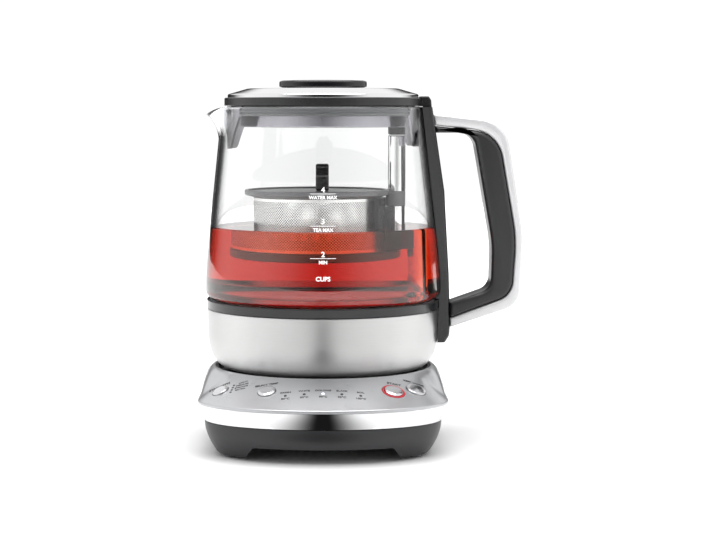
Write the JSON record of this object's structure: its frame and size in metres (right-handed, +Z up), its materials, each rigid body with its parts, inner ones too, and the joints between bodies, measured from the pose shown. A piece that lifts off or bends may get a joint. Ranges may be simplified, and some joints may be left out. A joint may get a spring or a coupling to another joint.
{
  "type": "automatic tea maker",
  "caption": "Automatic tea maker: glass jug with spout, D-handle and lift-off lid, tea basket sliding on a post, and a powered base with push buttons.",
  "frame": {"origin": "middle of the overall footprint, at the height of the feet's undersides", "axes": "+Z up, the front with the buttons faces -Y, the jug's handle points to +X and its spout to -X"},
  "size_m": [0.1961, 0.174, 0.222],
  "materials": {
    "tub_plastic": "fine matte",
    "polished_steel": "polished",
    "brushed_steel": "brushed",
    "silver_coating": "satin",
    "grey_plastic": "satin",
    "black_plastic": "satin to gloss",
    "silicone": "matte",
    "element_steel": "dark",
    "aluminium": "plain",
    "contact_brass": "plain",
    "circuit_board": "laminate",
    "clear_plastic": "clear",
    "clear_glass": "clear",
    "smoked_plastic": "smoked",
    "red_light": "glowing"
  },
  "bodies": {
    "base": {"base_tub": "tub_plastic", "chrome_band": "polished_steel", "top_deck": "silver_coating", "seat_dish": "black_plastic", "connector_hub": "black_plastic", "contact_pin": "contact_brass", "rubber_foot_1": "silicone", "rubber_foot_2": "silicone", "rubber_foot_3": "silicone", "rubber_foot_4": "silicone", "cord_outlet": "black_plastic", "control_board": "circuit_board", "power_board": "circuit_board", "strength_switch": "black_plastic", "temperature_switch": "black_plastic", "start_switch": "black_plastic", "custom_switch": "black_plastic", "temperature_light_guide": "clear_plastic", "strength_light_guide": "clear_plastic", "start_ring_light": "red_light"},
    "strength_button": {"strength_button": "polished_steel"},
    "temperature_button": {"temperature_button": "polished_steel"},
    "start_button": {"start_button": "polished_steel"},
    "custom_button": {"custom_button": "polished_steel"},
    "jug": {"glass_jug": "clear_glass", "collar_ring": "grey_plastic", "jug_seal": "silicone", "steel_shell": "brushed_steel", "heating_plate": "brushed_steel", "heat_diffuser": "aluminium", "heating_element": "element_steel", "jug_underside": "black_plastic", "jug_connector": "black_plastic", "handle_spine": "black_plastic", "handle_grip": "black_plastic", "handle_trim": "polished_steel", "lift_post": "brushed_steel", "post_collar": "black_plastic", "post_cap": "brushed_steel"},
    "lid": {"lid_rim": "black_plastic", "lid_dome": "polished_steel", "lid_knob": "black_plastic", "lid_seal": "silicone", "lid_skirt": "smoked_plastic", "spout_tongue": "smoked_plastic", "handle_tongue": "smoked_plastic"},
    "basket": {"basket_ring": "grey_plastic", "basket_strainer": "brushed_steel", "basket_floor": "brushed_steel", "basket_foot_ring": "grey_plastic", "basket_bracket": "black_plastic"},
    "basket_lid": {"basket_cover": "grey_plastic", "cover_grip": "black_plastic"}
  },
  "joints": [
    {"name": "jug_lift", "type": "slide", "parent": "base", "child": "jug", "axis": [0, 0, 1], "range_m": [0, 0.05]},
    {"name": "lid_lift", "type": "slide", "parent": "jug", "child": "lid", "axis": [0, 0, 1], "range_m": [0, 0.06]},
    {"name": "basket_lift", "type": "slide", "parent": "jug", "child": "basket", "axis": [0, 0, 1], "range_m": [-0.018, 0.02]},
    {"name": "basket_cover_lift", "type": "slide", "parent": "basket", "child": "basket_lid", "axis": [0, 0, 1], "range_m": [0, 0.012]},
    {"name": "strength_press", "type": "slide", "parent": "base", "child": "strength_button", "axis": [0.3608, 0.2485, -0.8989], "range_m": [0, 0.0008], "stiffness_N_per_m": 600, "springref_m": -0.0005},
    {"name": "temperature_press", "type": "slide", "parent": "base", "child": "temperature_button", "axis": [0.1594, 0.3824, -0.9102], "range_m": [0, 0.0008], "stiffness_N_per_m": 600, "springref_m": -0.0005},
    {"name": "start_press", "type": "slide", "parent": "base", "child": "start_button", "axis": [-0.2021, 0.357, -0.912], "range_m": [0, 0.0008], "stiffness_N_per_m": 600, "springref_m": -0.0005},
    {"name": "custom_press", "type": "slide", "parent": "base", "child": "custom_button", "axis": [-0.299, 0.2927, -0.9083], "range_m": [0, 0.0008], "stiffness_N_per_m": 600, "springref_m": -0.0005}
  ]
}
